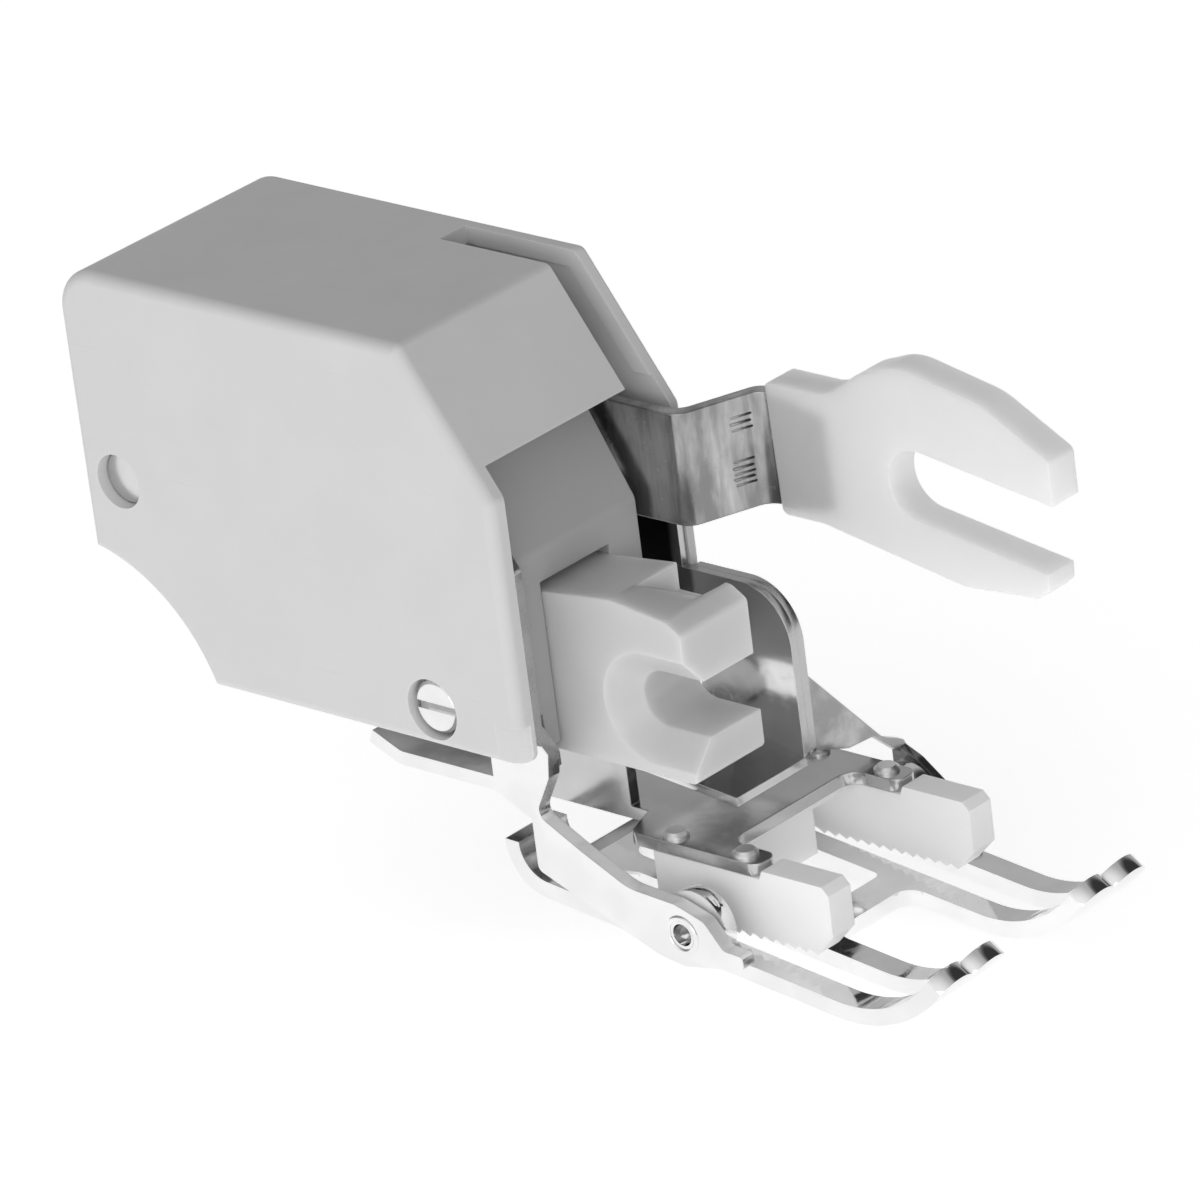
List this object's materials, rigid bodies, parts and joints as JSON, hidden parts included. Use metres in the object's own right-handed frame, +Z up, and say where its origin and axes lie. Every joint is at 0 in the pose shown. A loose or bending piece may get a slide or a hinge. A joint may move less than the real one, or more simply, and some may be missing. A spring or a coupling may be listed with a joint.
{
  "type": "sewing machine presser foot",
  "caption": "Walking presser foot: angular housing, swinging fork for the needle screw, slotted shank block, upper feed teeth and a pivoting open-toe sole.",
  "frame": {"origin": "centre of the presser-bar slot's round end, at the middle of the wall that the screw clamps", "axes": "+Z up, -Y to the front where the toes point, -X to the left, the side of the presser-bar screw"},
  "size_m": [0.0296, 0.0743, 0.0476],
  "materials": {
    "housing_plastic": "light grey moulded plastic with a fine satin grain",
    "white_nylon": "milky white nylon, slightly translucent, soft sheen",
    "bright_chrome": "bright chrome plating on pressed sheet",
    "plated_steel": "bright plated steel sheet with faint rolling marks",
    "turned_steel": "turned steel with fine rings",
    "spring_steel": "dark drawn spring wire"
  },
  "bodies": {
    "chassis": {"housing": "housing_plastic", "front_wall": "housing_plastic", "left_chassis_plate": "bright_chrome", "right_chassis_plate": "bright_chrome", "right_arm": "bright_chrome", "arm_rivets": "bright_chrome", "shank_block": "white_nylon", "chassis_screw": "bright_chrome", "lever_pin": "turned_steel", "lever_spacers": "turned_steel", "rocker_pin": "turned_steel", "rocker_spacer": "turned_steel", "rocker_clip": "turned_steel", "guide_channel": "white_nylon", "channel_rivets": "turned_steel", "spring_bracket": "plated_steel", "lift_spring": "spring_steel", "stroke_spring": "spring_steel", "sole_eyelets": "bright_chrome"},
    "lever": {"lever_arm": "plated_steel", "needle_fork": "white_nylon", "drive_pin": "turned_steel"},
    "rocker": {"rocker": "plated_steel"},
    "lift": {"lift_slide": "plated_steel", "slide_pin": "turned_steel", "guide_pins": "turned_steel"},
    "feed": {"feed_carrier": "plated_steel", "feed_pads": "white_nylon", "feed_rivets": "plated_steel"},
    "sole": {"sole": "bright_chrome"}
  },
  "joints": [
    {"name": "lever_swing", "type": "hinge", "parent": "chassis", "child": "lever", "pos_m": [0.0073, 0.0449, 0.01095], "axis": [-1, 0, 0], "range_deg": [0, 28]},
    {"name": "rocker_swing", "type": "hinge", "parent": "chassis", "child": "rocker", "pos_m": [0.00415, 0.029, 0.01095], "axis": [1, 0, 0], "range_deg": [0, 26.2]},
    {"name": "feed_drop", "type": "slide", "parent": "chassis", "child": "lift", "axis": [0, 0, -1], "range_m": [0, 0.0027], "deforming": ["lift_spring"]},
    {"name": "feed_stroke", "type": "slide", "parent": "lift", "child": "feed", "axis": [0, 1, 0], "range_m": [0, 0.004], "stiffness_N_per_m": 50, "deforming": ["stroke_spring"]},
    {"name": "sole_tilt", "type": "hinge", "parent": "chassis", "child": "sole", "pos_m": [0.00615, -0.003, -0.01585], "axis": [-1, 0, 0], "range_deg": [0, 14]}
  ],
  "couplings": [
    {"joint": "rocker_swing", "follows": "lever_swing", "ratio": 0.93332},
    {"joint": "feed_drop", "follows": "lever_swing", "m_per_rad": 0.005508}
  ]
}
